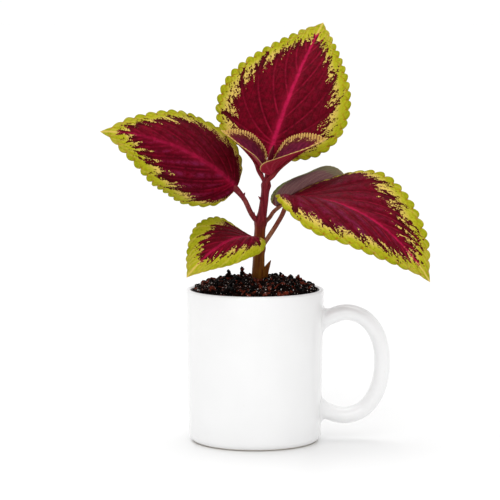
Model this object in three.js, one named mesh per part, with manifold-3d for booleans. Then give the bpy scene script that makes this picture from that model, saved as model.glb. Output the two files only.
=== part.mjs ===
// Potted coleus: a young square-stemmed plant in a plain ceramic mug filled with compost.
// Millimetres, +Z up. The origin is the middle of the flat foot, on the table.
// +X runs to the mug's handle, and the leaves are spread mostly along X.

import * as THREE from 'three';
import { mergeVertices } from 'three/addons/utils/BufferGeometryUtils.js';
import Module from 'manifold-3d';

const wasm = await Module();
wasm.setup();

// ---------------------------------------------------------------- driving dimensions

const CLEARANCE = 0.3; // between any two pieces that touch

const MUG = {
  height: 91,
  rimRadius: 41,
  bodyRadius: 39.4, // just above the rounded bottom edge
  footRadius: 35.5,
  bottomRounding: 4.5,
  wall: 2.9,
  floor: 6,
  lipRounding: 1.4,
  sides: 44,
};

const HANDLE = {
  // centre line in the XZ plane, from the upper root round to the lower root
  path: [
    [39, 72.3], [42.4, 72.9], [47.8, 75.7], [55.5, 77], [65.5, 73.2], [72.6, 63],
    [75.2, 47], [72.4, 31], [65, 20.2], [55, 16.2], [47.5, 17.2], [41.6, 19.6], [38.1, 20.1],
  ],
  thickness: 9.4,
  breadth: 12.6,
  rootFlare: 4.6, // extra thickness where the handle runs into the wall
  sides: 12,
  steps: 30,
};

const SOIL = {
  edgeHeight: 89.2,
  crown: 12, // how far the mound stands above its edge
  fullness: 0.8,
  rings: 9,
  sides: 36,
  lump: 0.9,
  crumbs: 26,
  // chips that stand up from the mound: x, y, height of the top
  chips: [[-26.2, 3, 97.2], [-16.3, 2, 102.2], [-7.6, 3, 104], [15.4, 2, 100.9], [26, 4, 98.9]],
};

const STEM = {
  // centre line, bottom to top: x, y, z, width across the flats
  path: [
    [1.0, 0.6, 60, 5.6],
    [1.3, 0.3, 80, 7.2],
    [1.5, 0, 93, 7.1],
    [2.0, 0, 105, 6.7],
    [2.4, 0, 115, 6.2],
    [2.8, 0, 125, 6.1],
    [3.3, 0, 131, 6.2],
    [4.4, 0.1, 136.5, 5.0],
    [5.6, 0.3, 145, 4.6],
    [6.5, 0.5, 152.5, 4.5],
    [7.4, 0.2, 158, 2.9],
    [8.6, 0, 165, 2.4],
    [10, 0.4, 171, 2.3],
    [11.2, 1, 176.2, 0.6],
  ],
  steps: 36,
  turn: 22, // degrees that the square section is turned from facing front
  corner: 0.86, // 1 is a circle, higher is squarer across the corners
};

const NODE_SWELLING = { heights: [115, 130.5, 152.5], rise: 0.55, spread: 2.4 };

// short pointed scars and side buds on the stem: foot, tip, thickness at the foot
const STEM_BUDS = [
  { foot: [3.4, 0, 90], bulge: [6.9, -0.4, 100.5], tip: [9.5, 0, 107.9], radius: 2.0 },
  { foot: [1.6, -1.6, 130.4], bulge: [0.2, -2.5, 132.6], tip: [-0.6, -3, 137], radius: 0.9 },
  { foot: [4.6, -0.4, 143.2], bulge: [2.9, -1, 144.9], tip: [1.9, -1.4, 146], radius: 0.9 },
];

const RIB_DEPTH = 0.92; // depth of the midrib's centre below the blade, in its own radii

const BLADE = {
  thickness: 0.7,
  toothDepth: 1.15,
  rows: [1, 0.87, 0.5, 0], // shares of the way from the midrib to the margin
  stride: [1, 3, 3, 3], // margin steps to one step of each row
  stepsPerTooth: 3,
  toothSetback: 0.7, // how far the notches lie inside the outline
};

// Each leaf: where the blade starts and ends, how far its midrib arches towards the
// face direction, the half widths, and how each half folds up (fold) and rolls (curl).
// azimuth 0 faces -Y, elevation 90 faces straight up. petiole: points from the stem's
// axis to the blade's base.
const LEAVES = {
  leaf_left: {
    base: [-10.5, -2, 151.7], tip: [-90, -24, 185.5], arch: 14, azimuth: -8, elevation: 41,
    twist: 14, sag: 0.57, taper: 1.07, teeth: 17, wave: 0.9, rib: 1.3,
    left: { width: 33.2, fold: -26, curl: -74, lobe: 3 },
    right: { width: 33.2, fold: 10, curl: -39, lobe: 3 },
    petiole: [[3.1, 0, 129.2], [-1.6, -1, 134.6], [-6.6, -2, 144.5]],
    bump: { foot: [-7.4, -1.8, 145.9], bulge: [-6.6, -2, 147], tip: [-5.9, -2.2, 148.4], radius: 0.8 },
  },
  leaf_top: {
    base: [9.7, 17, 172], tip: [42.1, 63, 248], arch: 6.3, azimuth: -12, elevation: 33.4,
    twist: 0, sag: 0.43, taper: 1.17, teeth: 17, wave: 0.8, rib: 1.35,
    left: { width: 41.1, fold: 6, curl: 6, lobe: 10 },
    right: { width: 40.7, fold: 6, curl: -4, lobe: 10 },
    petiole: [[6.5, 0.5, 151], [7, 4.4, 156.5], [8, 10.8, 164.6]],
  },
  leaf_right: {
    base: [18.2, -8, 145.9], tip: [101.1, -36, 99], arch: 15.7, azimuth: 16, elevation: 75,
    twist: 41, sag: 0.48, taper: 1.07, teeth: 18, wave: 0.9, rib: 1.4,
    left: { width: 42, fold: 8, curl: 17, lobe: 2 },
    right: { width: 40.4, fold: 14.5, curl: -51, lobe: 2 },
    petiole: [[2.4, -0.2, 113.6], [10.1, -3.5, 125.2], [15.9, -6.5, 135.4], [18.2, -8.2, 141]],
  },
  leaf_back_right: {
    base: [12.4, 5, 139.5], tip: [56.3, 44, 153.8], arch: 4.5, azimuth: 180, elevation: 55,
    twist: 22, sag: 0.62, taper: 1.0, teeth: 13, wave: 0.5, rib: 1.2,
    left: { width: 15, fold: 42, curl: 0, lobe: -5 },
    right: { width: 20.5, fold: 40, curl: -60, lobe: 5.5 },
    petiole: [[3.1, 0.2, 128.4], [8.4, 2.6, 132.8], [11, 4.2, 136.4]],
  },
  leaf_low_left: {
    base: [-1.1, -13, 123.2], tip: [-39.6, -40, 102.2], arch: 7.6, azimuth: -18, elevation: 54,
    twist: -23, sag: 0.42, taper: 1.06, teeth: 12, wave: 0.6, rib: 1.2,
    left: { width: 21, fold: 13, curl: -41, lobe: 1 },
    right: { width: 22.5, fold: 3, curl: 25, lobe: 1 },
    petiole: [[2.3, -0.2, 113.2], [1.2, -5, 114.6], [-0.2, -9.8, 117.6]],
  },
  leaf_young_left: {
    base: [3.8, 3, 160.6], tip: [-20.4, -5, 185.4], arch: 1.2, azimuth: 34, elevation: 57,
    twist: -21, sag: 0.48, taper: 1.05, teeth: 11, wave: 0.3, rib: 0.9,
    left: { width: 12.1, fold: 38, curl: 0, lobe: 1 },
    right: { width: 11.7, fold: 39, curl: -12, lobe: 1 },
    petiole: [[6.3, 0.5, 150.4], [4.7, 1.7, 155.4]],
  },
  leaf_young_right: {
    base: [10.6, -6, 160.9], tip: [42.8, -16, 181.3], arch: 0.2, azimuth: -31, elevation: 71.5,
    twist: 47, sag: 0.5, taper: 1.08, teeth: 12, wave: 0.3, rib: 0.9,
    left: { width: 14.9, fold: 38, curl: -13, lobe: 4 },
    right: { width: 17, fold: 40, curl: -9, lobe: 10 },
    petiole: [[6.4, 0.2, 150], [8.4, -3.2, 155.2]],
  },
};

const COLOURS = {
  ceramic: 0xf3f2ee,
  compost: 0x2b1d16,
  stem: 0x7a3a34,
  leaf: 0x84202f,
};

// ---------------------------------------------------------------- helpers

const vec = (list) => new THREE.Vector3(...list);

function seeded(seed) {
  let state = seed;
  return () => {
    state = (state * 1664525 + 1013904223) % 4294967296;
    return state / 4294967296;
  };
}

// a closed three.js geometry as a solid
function solidFrom(geometry) {
  geometry.deleteAttribute('normal');
  geometry.deleteAttribute('uv');
  const merged = mergeVertices(geometry, 1e-4);
  const solid = new wasm.Manifold(new wasm.Mesh({
    numProp: 3,
    vertProperties: new Float32Array(merged.attributes.position.array),
    triVerts: new Uint32Array(merged.index.array),
  }));
  return solid;
}

// the one real body of a solid, without the slivers that a join can leave
function wholeBody(solid) {
  return solid.decompose().sort((a, b) => b.volume() - a.volume())[0];
}

function geometryFrom(points, faces) {
  const geometry = new THREE.BufferGeometry();
  geometry.setAttribute('position', new THREE.Float32BufferAttribute(points, 3));
  geometry.setIndex(faces);
  return geometry;
}

function meshFrom(name, solid, colour, roughness) {
  const result = solid.getMesh();
  const geometry = geometryFrom(Array.from(result.vertProperties), Array.from(result.triVerts));
  geometry.computeVertexNormals();
  const material = new THREE.MeshStandardMaterial({ color: colour, roughness, metalness: 0 });
  const mesh = new THREE.Mesh(geometry, material);
  mesh.name = name;
  return mesh;
}

// a closed sweep: rings is a list of rings of Vector3 with the same count each
function sweepOf(rings) {
  const sides = rings[0].length;
  const points = [];
  const faces = [];
  for (const ring of rings) {
    for (const corner of ring) points.push(corner.x, corner.y, corner.z);
  }
  for (let i = 0; i + 1 < rings.length; i += 1) {
    for (let j = 0; j < sides; j += 1) {
      const a = i * sides + j;
      const b = i * sides + ((j + 1) % sides);
      faces.push(a, b, b + sides, a, b + sides, a + sides);
    }
  }
  for (const end of [0, rings.length - 1]) {
    const middle = new THREE.Vector3();
    for (const corner of rings[end]) middle.addScaledVector(corner, 1 / sides);
    const hub = points.length / 3;
    points.push(middle.x, middle.y, middle.z);
    for (let j = 0; j < sides; j += 1) {
      const a = end * sides + j;
      const b = end * sides + ((j + 1) % sides);
      if (end === 0) faces.push(hub, b, a);
      else faces.push(hub, a, b);
    }
  }
  return geometryFrom(points, faces);
}

// a round tube along points, its radius read at each step
function taperedTube(path, radiusAt, steps, sides) {
  const curve = new THREE.CatmullRomCurve3(path, false, 'centripetal');
  const frames = curve.computeFrenetFrames(steps, false);
  const rings = [];
  for (let i = 0; i <= steps; i += 1) {
    const share = i / steps;
    const middle = curve.getPointAt(share);
    const ring = [];
    for (let j = 0; j < sides; j += 1) {
      const turn = (2 * Math.PI * j) / sides;
      ring.push(middle.clone()
        .addScaledVector(frames.normals[i], radiusAt(share) * Math.cos(turn))
        .addScaledVector(frames.binormals[i], radiusAt(share) * Math.sin(turn)));
    }
    rings.push(ring);
  }
  return solidFrom(sweepOf(rings));
}

// a pointed bud or scar growing out of its foot, or with extra > 0 the space that it needs
function pointedBud({ foot, bulge, tip, radius }, extra = 0) {
  const shape = (share) => radius * (1 - share ** 1.7) + 0.12 + extra;
  const start = vec(foot).addScaledVector(vec(bulge).sub(vec(foot)).normalize(), -extra);
  const end = vec(tip).addScaledVector(vec(tip).sub(vec(bulge)).normalize(), extra);
  return taperedTube([start, vec(bulge), end], shape, 6, 7);
}

// ---------------------------------------------------------------- mug

function innerRadiusAt(height) {
  const share = (height - MUG.bottomRounding) / (MUG.height - MUG.bottomRounding);
  return MUG.bodyRadius + (MUG.rimRadius - MUG.bodyRadius) * share - MUG.wall;
}

function arc(cx, cy, radius, from, to, steps) {
  const points = [];
  for (let i = 0; i <= steps; i += 1) {
    const turn = THREE.MathUtils.degToRad(from + ((to - from) * i) / steps);
    points.push(new THREE.Vector2(cx + radius * Math.cos(turn), cy + radius * Math.sin(turn)));
  }
  return points;
}

function lathe(profile, sides) {
  const geometry = new THREE.LatheGeometry(profile, sides);
  geometry.rotateX(Math.PI / 2);
  return solidFrom(geometry);
}

function buildMug() {
  const { height, rimRadius, bodyRadius, footRadius, bottomRounding, wall, floor } = MUG;
  const lip = MUG.lipRounding;
  const innerRim = rimRadius - wall;
  const profile = [
    new THREE.Vector2(0, 0),
    new THREE.Vector2(footRadius, 0),
    ...arc(bodyRadius - bottomRounding, bottomRounding, bottomRounding, -70, 0, 5),
    ...arc(rimRadius - lip, height - lip, lip, 0, 90, 3),
    ...arc(innerRim + lip, height - lip, lip, 90, 180, 3),
    new THREE.Vector2(innerRadiusAt(floor + 9), floor + 9),
    ...arc(innerRadiusAt(floor + 9) - 9, floor + 9, 9, -15, -90, 4),
    new THREE.Vector2(0, floor),
  ];
  const body = lathe(profile, MUG.sides);
  const line = new THREE.CatmullRomCurve3(
    HANDLE.path.map(([x, z]) => new THREE.Vector3(x, 0, z)), false, 'centripetal');
  const rings = [];
  for (let i = 0; i <= HANDLE.steps; i += 1) {
    const share = i / HANDLE.steps;
    const middle = line.getPointAt(share);
    const along = line.getTangentAt(share);
    const outward = new THREE.Vector3(-along.z, 0, along.x);
    const flare = HANDLE.rootFlare * (Math.exp(-share / 0.035) + Math.exp(-(1 - share) / 0.035));
    const ring = [];
    for (let j = 0; j < HANDLE.sides; j += 1) {
      const turn = (2 * Math.PI * j) / HANDLE.sides;
      const thick = ((HANDLE.thickness + flare) / 2) * Math.cos(turn);
      const broad = (-(HANDLE.breadth + flare * 0.4) / 2) * Math.sin(turn);
      ring.push(middle.clone().addScaledVector(outward, thick).add(vec([0, broad, 0])));
    }
    rings.push(ring);
  }
  const handle = solidFrom(sweepOf(rings));
  return body.add(handle);
}

// ---------------------------------------------------------------- stem

function swellingAt(height) {
  let swelling = 0;
  for (const node of NODE_SWELLING.heights) {
    swelling += NODE_SWELLING.rise * Math.exp(-(((height - node) / NODE_SWELLING.spread) ** 2));
  }
  return swelling;
}

// the stem, or with extra > 0 the space that it needs
function stemSolid(extra, dig) {
  const path = STEM.path.map(([x, y, z]) => vec([x, y, z]));
  path[0].z -= dig;
  const line = new THREE.CatmullRomCurve3(path, false, 'centripetal');
  const widthAt = (height) => {
    const rows = STEM.path;
    let k = 1;
    while (k < rows.length - 1 && rows[k][2] < height) k += 1;
    const share = THREE.MathUtils.clamp(
      (height - rows[k - 1][2]) / (rows[k][2] - rows[k - 1][2]), 0, 1);
    return THREE.MathUtils.lerp(rows[k - 1][3], rows[k][3], share);
  };
  const rings = [];
  for (let i = 0; i <= STEM.steps; i += 1) {
    const middle = line.getPointAt(i / STEM.steps);
    const along = line.getTangentAt(i / STEM.steps);
    const side = vec([1, 0, 0]).addScaledVector(along, -along.x).normalize();
    const front = along.clone().cross(side);
    const half = widthAt(middle.z) / 2 + swellingAt(middle.z) + extra;
    const ring = [];
    for (let j = 0; j < 12; j += 1) {
      const turn = (2 * Math.PI * j) / 12;
      const square = 1 / Math.max(Math.abs(Math.cos(turn)), Math.abs(Math.sin(turn)));
      const reach = half * (1 + (square - 1) * STEM.corner * 0.62);
      const turned = turn + THREE.MathUtils.degToRad(STEM.turn);
      ring.push(middle.clone()
        .addScaledVector(side, reach * Math.cos(turned))
        .addScaledVector(front, reach * Math.sin(turned)));
    }
    rings.push(ring);
  }
  return solidFrom(sweepOf(rings));
}

function buildStem() {
  let stem = stemSolid(0, 0);
  for (const bud of STEM_BUDS) stem = stem.add(pointedBud(bud));
  return stem;
}

function buildStemSpace() {
  let space = stemSolid(CLEARANCE, CLEARANCE);
  for (const bud of STEM_BUDS) space = space.add(pointedBud(bud, CLEARANCE));
  return space;
}

// ---------------------------------------------------------------- soil

function moundHeight(x, y) {
  const radius = innerRadiusAt(SOIL.edgeHeight) - CLEARANCE;
  const share = Math.min(1, Math.hypot(x, y) / radius);
  const lump = Math.sin(x * 0.41 + y * 0.23) + Math.sin(y * 0.53 - x * 0.17 + 2)
    + 0.7 * Math.sin(x * 0.83 + 1) * Math.sin(y * 0.91 + 0.5);
  const fade = Math.min(1, (1 - share) * 5);
  return SOIL.edgeHeight + SOIL.crown * (1 - share * share) ** SOIL.fullness
    + SOIL.lump * 0.5 * lump * fade;
}

function buildSoil(stemSpace) {
  const bottom = MUG.floor + CLEARANCE;
  const points = [];
  const faces = [];
  const heights = [bottom, bottom + 2.6, bottom + 9, SOIL.edgeHeight];
  const insets = [9.2, 2.8, 0, 0];
  heights.forEach((height, level) => {
    const radius = innerRadiusAt(Math.max(height, bottom + 9)) - CLEARANCE - insets[level];
    for (let j = 0; j < SOIL.sides; j += 1) {
      const turn = (2 * Math.PI * j) / SOIL.sides;
      points.push(radius * Math.cos(turn), radius * Math.sin(turn), height);
    }
  });
  const edge = innerRadiusAt(SOIL.edgeHeight) - CLEARANCE;
  for (let ring = SOIL.rings - 1; ring > 0; ring -= 1) {
    const radius = edge * (ring / SOIL.rings) ** 0.9;
    for (let j = 0; j < SOIL.sides; j += 1) {
      const turn = (2 * Math.PI * (j + 0.5 * (ring % 2))) / SOIL.sides;
      const x = radius * Math.cos(turn);
      const y = radius * Math.sin(turn);
      points.push(x, y, moundHeight(x, y));
    }
  }
  const count = points.length / 3 / SOIL.sides;
  for (let i = 0; i + 1 < count; i += 1) {
    for (let j = 0; j < SOIL.sides; j += 1) {
      const a = i * SOIL.sides + j;
      const b = i * SOIL.sides + ((j + 1) % SOIL.sides);
      faces.push(a, b, b + SOIL.sides, a, b + SOIL.sides, a + SOIL.sides);
    }
  }
  const floorHub = points.length / 3;
  points.push(0, 0, bottom, 0, 0, moundHeight(0, 0));
  for (let j = 0; j < SOIL.sides; j += 1) {
    const next = (j + 1) % SOIL.sides;
    const last = (count - 1) * SOIL.sides;
    faces.push(floorHub, next, j, floorHub + 1, last + j, last + next);
  }
  let soil = solidFrom(geometryFrom(points, faces));
  const random = seeded(11);
  for (let i = 0; i < SOIL.crumbs; i += 1) {
    const turn = 2.4 * i + random();
    const radius = 6.5 + 26 * Math.sqrt((i + 0.5) / SOIL.crumbs);
    const size = 1.1 + 1.5 * random();
    const crumb = new THREE.IcosahedronGeometry(size, 0);
    crumb.scale(1 + 0.5 * random(), 0.8 + 0.4 * random(), 0.7 + 0.5 * random());
    crumb.rotateZ(random() * 3);
    crumb.rotateX(random() * 3);
    const x = radius * Math.cos(turn);
    const y = radius * Math.sin(turn);
    crumb.translate(x, y, moundHeight(x, y) + size * 0.25);
    soil = soil.add(solidFrom(crumb));
  }
  for (const [x, y, top] of SOIL.chips) {
    const foot = moundHeight(x, y) - 0.8;
    const chip = new THREE.IcosahedronGeometry(1, 0);
    chip.scale(1.5, 1.2, (top - foot) / 1.9);
    chip.rotateY(0.25);
    chip.translate(x, y, (top + foot) / 2);
    soil = soil.add(solidFrom(chip));
  }
  return soil.subtract(stemSpace);
}

// ---------------------------------------------------------------- leaves

function faceDirection(leaf) {
  const azimuth = THREE.MathUtils.degToRad(leaf.azimuth);
  const elevation = THREE.MathUtils.degToRad(leaf.elevation);
  return new THREE.Vector3(
    Math.sin(azimuth) * Math.cos(elevation),
    -Math.cos(azimuth) * Math.cos(elevation),
    Math.sin(elevation),
  );
}

// the midrib's curve, and the frame (point, along, up, across) at a share of its length
function midribOf(leaf) {
  const base = vec(leaf.base);
  const chord = vec(leaf.tip).sub(base);
  const along = chord.clone().normalize();
  const face = faceDirection(leaf);
  const up0 = face.addScaledVector(along, -face.dot(along)).normalize();
  const control = base.clone().addScaledVector(chord, leaf.sag)
    .addScaledVector(up0, 2 * leaf.arch);
  const curve = new THREE.QuadraticBezierCurve3(base, control, vec(leaf.tip));
  const length = curve.getLength();
  const frameAt = (share) => {
    const inside = THREE.MathUtils.clamp(share, 0, 1);
    const tangent = curve.getTangentAt(inside);
    const point = curve.getPointAt(inside).addScaledVector(tangent, (share - inside) * length);
    const up = up0.clone().addScaledVector(tangent, -tangent.dot(up0)).normalize();
    const across = tangent.clone().cross(up);
    const turn = THREE.MathUtils.degToRad(leaf.twist) * (share - 0.4);
    return {
      point,
      tangent,
      up: up.clone().multiplyScalar(Math.cos(turn)).addScaledVector(across, Math.sin(turn)),
      across: across.clone().multiplyScalar(Math.cos(turn)).addScaledVector(up, -Math.sin(turn)),
    };
  };
  return { length, frameAt };
}

// a point of the blade's middle surface from its place in the flat leaf
function bladePoint(leaf, midrib, along, across, side) {
  const half = side > 0 ? leaf.right : leaf.left;
  const widest = Math.max(leaf.left.width, leaf.right.width);
  const share = along / midrib.length;
  const frame = midrib.frameAt(share);
  const fold = THREE.MathUtils.degToRad(half.fold);
  let bend = THREE.MathUtils.degToRad(half.curl) / widest;
  if (Math.abs(bend) < 1e-6) bend = 1e-6;
  const out = (Math.sin(fold + bend * across) - Math.sin(fold)) / bend;
  const phase = 2 * Math.PI * (2.2 * share + (side > 0 ? 0 : 0.35));
  const rise = -(Math.cos(fold + bend * across) - Math.cos(fold)) / bend
    + leaf.wave * (across / widest) ** 2 * Math.sin(phase);
  return frame.point.addScaledVector(frame.across, side * out).addScaledVector(frame.up, rise);
}

// the flat outline of one half: x runs 0..1 from base to tip
function outlineAt(leaf, length, side, x) {
  const half = side > 0 ? leaf.right : leaf.left;
  const peak = 0.5 / (0.5 + leaf.taper);
  const top = peak ** 0.5 * (1 - peak) ** leaf.taper;
  const share = (x ** 0.5 * (1 - x) ** leaf.taper) / top;
  return new THREE.Vector2(x * length - half.lobe * share * (1 - x) ** 3, half.width * share);
}

// values of x that split the outline into equal lengths
function evenSteps(leaf, length, side, count) {
  const samples = 400;
  const lengths = [0];
  let last = outlineAt(leaf, length, side, 0);
  for (let i = 1; i <= samples; i += 1) {
    const next = outlineAt(leaf, length, side, (i / samples) ** 2);
    lengths.push(lengths[i - 1] + next.distanceTo(last));
    last = next;
  }
  const steps = [];
  let k = 0;
  for (let i = 0; i <= count; i += 1) {
    const target = (lengths[samples] * i) / count;
    while (k < samples - 1 && lengths[k + 1] < target) k += 1;
    const part = (target - lengths[k]) / (lengths[k + 1] - lengths[k]);
    steps.push(((k + part) / samples) ** 2);
  }
  return steps;
}

// rounded teeth that lean towards the tip and fade out at the base and the tip
function toothAt(leaf, share) {
  const phase = (share * leaf.teeth) % 1;
  const fade = Math.min(1, share * 9, (1 - share) * 7);
  return BLADE.toothDepth * fade * Math.sin(Math.PI * phase ** 1.15) ** 0.7;
}

function buildBlade(leaf, midrib) {
  const { length } = midrib;
  const points = [];
  const faces = [];
  const put = (point) => {
    points.push(point.x, point.y, point.z);
    return points.length / 3 - 1;
  };
  const marginSteps = leaf.teeth * BLADE.stepsPerTooth;
  const baseCorner = put(midrib.frameAt(0).point);
  const tipCorner = put(midrib.frameAt(1).point);
  const middleRow = [baseCorner];
  const middleSteps = marginSteps / BLADE.stride[3];
  for (let i = 1; i < middleSteps; i += 1) {
    middleRow.push(put(midrib.frameAt((i / middleSteps) ** 1.25).point));
  }
  middleRow.push(tipCorner);
  const margins = {};
  for (const side of [-1, 1]) {
    const steps = evenSteps(leaf, length, side, marginSteps);
    const rows = BLADE.rows.slice(0, 3).map((share, level) => {
      const stride = BLADE.stride[level];
      const row = [baseCorner];
      for (let i = stride; i < marginSteps; i += stride) {
        const x = steps[i];
        const edge = outlineAt(leaf, length, side, x);
        const foot = new THREE.Vector2(x ** 1.35 * length, 0);
        const place = foot.clone().lerp(edge, share);
        if (level === 0) {
          const before = outlineAt(leaf, length, side, Math.max(0, x - 1e-3));
          const after = outlineAt(leaf, length, side, Math.min(1, x + 1e-3));
          const run = after.sub(before).normalize();
          const tooth = toothAt(leaf, i / marginSteps) - BLADE.toothSetback;
          place.add(new THREE.Vector2(-run.y, run.x).multiplyScalar(tooth));
        }
        row.push(put(bladePoint(leaf, midrib, place.x, place.y, side)));
      }
      row.push(tipCorner);
      return row;
    });
    rows.push(middleRow);
    [margins[side]] = rows;
    for (let level = 0; level + 1 < rows.length; level += 1) {
      zip(rows[level], rows[level + 1], side, faces);
    }
  }
  return thicken(geometryFrom(points, faces), margins);
}

// fills the strip between two rows that share their first and last points
function zip(outer, inner, side, faces) {
  let i = 0;
  let j = 0;
  const add = (a, b, c) => {
    if (a === b || b === c || a === c) return;
    if (side > 0) faces.push(a, b, c);
    else faces.push(a, c, b);
  };
  while (i < outer.length - 1 || j < inner.length - 1) {
    const outerNext = (i + 1) / (outer.length - 1);
    const innerNext = (j + 1) / (inner.length - 1);
    if (j === inner.length - 1 || (i < outer.length - 1 && outerNext <= innerNext)) {
      add(outer[i], outer[i + 1], inner[j]);
      i += 1;
    } else {
      add(outer[i], inner[j + 1], inner[j]);
      j += 1;
    }
  }
}

// a sheet with both faces split alike and a rim round its margins
function thicken(sheet, margins) {
  sheet.computeVertexNormals();
  const place = sheet.attributes.position;
  const normal = sheet.attributes.normal;
  const points = [];
  for (const side of [1, -1]) {
    for (let i = 0; i < place.count; i += 1) {
      const point = new THREE.Vector3().fromBufferAttribute(place, i);
      const up = new THREE.Vector3().fromBufferAttribute(normal, i);
      point.addScaledVector(up, (side * BLADE.thickness) / 2);
      points.push(point.x, point.y, point.z);
    }
  }
  const faces = Array.from(sheet.index.array);
  const lower = place.count;
  for (let i = 0; i < sheet.index.count; i += 3) {
    faces.push(faces[i] + lower, faces[i + 2] + lower, faces[i + 1] + lower);
  }
  for (const side of [-1, 1]) {
    const row = margins[side];
    for (let i = 0; i + 1 < row.length; i += 1) {
      const [a, b] = side > 0 ? [row[i], row[i + 1]] : [row[i + 1], row[i]];
      faces.push(b, a, a + lower, b, a + lower, b + lower);
    }
  }
  return solidFrom(geometryFrom(points, faces));
}

// the petiole, which runs on as the raised midrib under the blade
function buildPetiole(leaf, midrib) {
  const path = leaf.petiole.map((point) => vec(point));
  const straight = path.reduce(
    (sum, point, i) => sum + (i ? point.distanceTo(path[i - 1]) : 0), 0)
    + path[path.length - 1].distanceTo(vec(leaf.base));
  for (const share of [0.03, 0.12, 0.22, 0.34, 0.46, 0.58, 0.71, 0.84]) {
    const frame = midrib.frameAt(share);
    const radius = leaf.rib * (1 - 0.72 * share);
    path.push(frame.point.addScaledVector(frame.up, -radius * RIB_DEPTH));
  }
  const blade = midrib.length * 0.84;
  const radiusAt = (share) => {
    const travelled = share * (straight + blade);
    if (travelled < straight) return leaf.rib * (1 + 0.22 * Math.exp(-travelled / 4));
    return leaf.rib * (1 - (0.72 * (travelled - straight)) / midrib.length);
  };
  return taperedTube(path, radiusAt, 24, 8);
}

function buildLeaf(leaf, stemSpace) {
  const midrib = midribOf(leaf);
  let solid = buildBlade(leaf, midrib).add(buildPetiole(leaf, midrib));
  if (leaf.bump) solid = solid.add(pointedBud(leaf.bump));
  return wholeBody(solid.subtract(stemSpace));
}

// ---------------------------------------------------------------- the plant in its mug

const stemSpace = buildStemSpace();
const group = new THREE.Group();
group.add(meshFrom('mug', buildMug(), COLOURS.ceramic, 0.18));
group.add(meshFrom('soil', buildSoil(stemSpace), COLOURS.compost, 0.95));
group.add(meshFrom('stem', buildStem(), COLOURS.stem, 0.6));
for (const [name, leaf] of Object.entries(LEAVES)) {
  group.add(meshFrom(name, buildLeaf(leaf, stemSpace), COLOURS.leaf, 0.55));
}

export default group;
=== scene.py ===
"""A young coleus growing in a plain white mug of compost.

The pieces are worked out in millimetres and brought to metres when they are finished.
+X runs to the mug's handle, +Z is up, and the mug's foot stands on the table at zero.
"""

import math
import random

import bmesh
import bpy
import numpy as np
from mathutils import Matrix, Vector, noise


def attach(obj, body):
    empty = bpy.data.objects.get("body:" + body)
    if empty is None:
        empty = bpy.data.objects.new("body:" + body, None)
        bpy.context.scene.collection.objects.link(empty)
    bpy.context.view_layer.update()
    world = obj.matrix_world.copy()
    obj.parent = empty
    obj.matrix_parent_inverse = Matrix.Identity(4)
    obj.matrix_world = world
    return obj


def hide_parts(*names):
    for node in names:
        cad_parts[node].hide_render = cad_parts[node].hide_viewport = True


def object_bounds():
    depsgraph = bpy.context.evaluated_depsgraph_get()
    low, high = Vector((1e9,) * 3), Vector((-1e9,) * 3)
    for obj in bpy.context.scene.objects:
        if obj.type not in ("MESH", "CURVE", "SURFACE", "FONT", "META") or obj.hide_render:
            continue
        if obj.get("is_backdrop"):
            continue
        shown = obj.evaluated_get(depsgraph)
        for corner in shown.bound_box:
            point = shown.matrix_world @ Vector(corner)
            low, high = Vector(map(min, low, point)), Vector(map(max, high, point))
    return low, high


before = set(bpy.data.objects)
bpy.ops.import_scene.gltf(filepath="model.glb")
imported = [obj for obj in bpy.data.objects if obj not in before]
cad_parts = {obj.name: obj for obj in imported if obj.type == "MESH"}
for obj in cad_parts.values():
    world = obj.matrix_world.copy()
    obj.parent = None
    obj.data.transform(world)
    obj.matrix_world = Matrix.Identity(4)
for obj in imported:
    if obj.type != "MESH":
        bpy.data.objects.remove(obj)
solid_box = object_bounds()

MM = 0.001
TURN = 2 * math.pi

# ---- sizes, in millimetres


class Mug:
    height, rim, body, foot = 91.0, 41.0, 39.4, 35.5
    wall, lip, floor = 2.9, 1.4, 6.0
    bottom_rounding, floor_rounding = 4.5, 9.0
    recess, recess_radius = 1.0, 30.0
    sides = 224


class Handle:
    line = [
        (39, 72.1), (42.4, 72.6), (47.8, 75.3), (55.5, 76.7), (65.5, 73), (73, 63), (75.9, 47),
        (73, 30.4), (65.4, 19), (55, 14.7), (47.5, 15.6), (41.6, 18), (38.1, 18.9),
    ]
    thickness, breadth = 9.5, 12.6
    fillet, free_from_wall = 4.4, 5.6
    start, end = (38.6, 0, 72.5), (38.0, 0, 18.9)
    sides, steps, fillet_steps = 56, 150, 9


class Compost:
    edge, crown, fullness = 89.2, 7.6, 0.72
    lump, gap = 0.9, 0.3
    dip, dip_width = 2.6, 7
    sides, rings, tone = 200, 84, 0.25
    crumbs, bark, fibres, perlite = 2100, 170, 170, 115


STEM_FOOT = 1.8  # how far the stem stands towards the handle
CHIPS = [(-26.2, 3, 97.2), (-16.3, 2, 102.2), (-7.6, 3, 104), (15.4, 2, 100.9), (26, 4, 98.9)]

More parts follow.
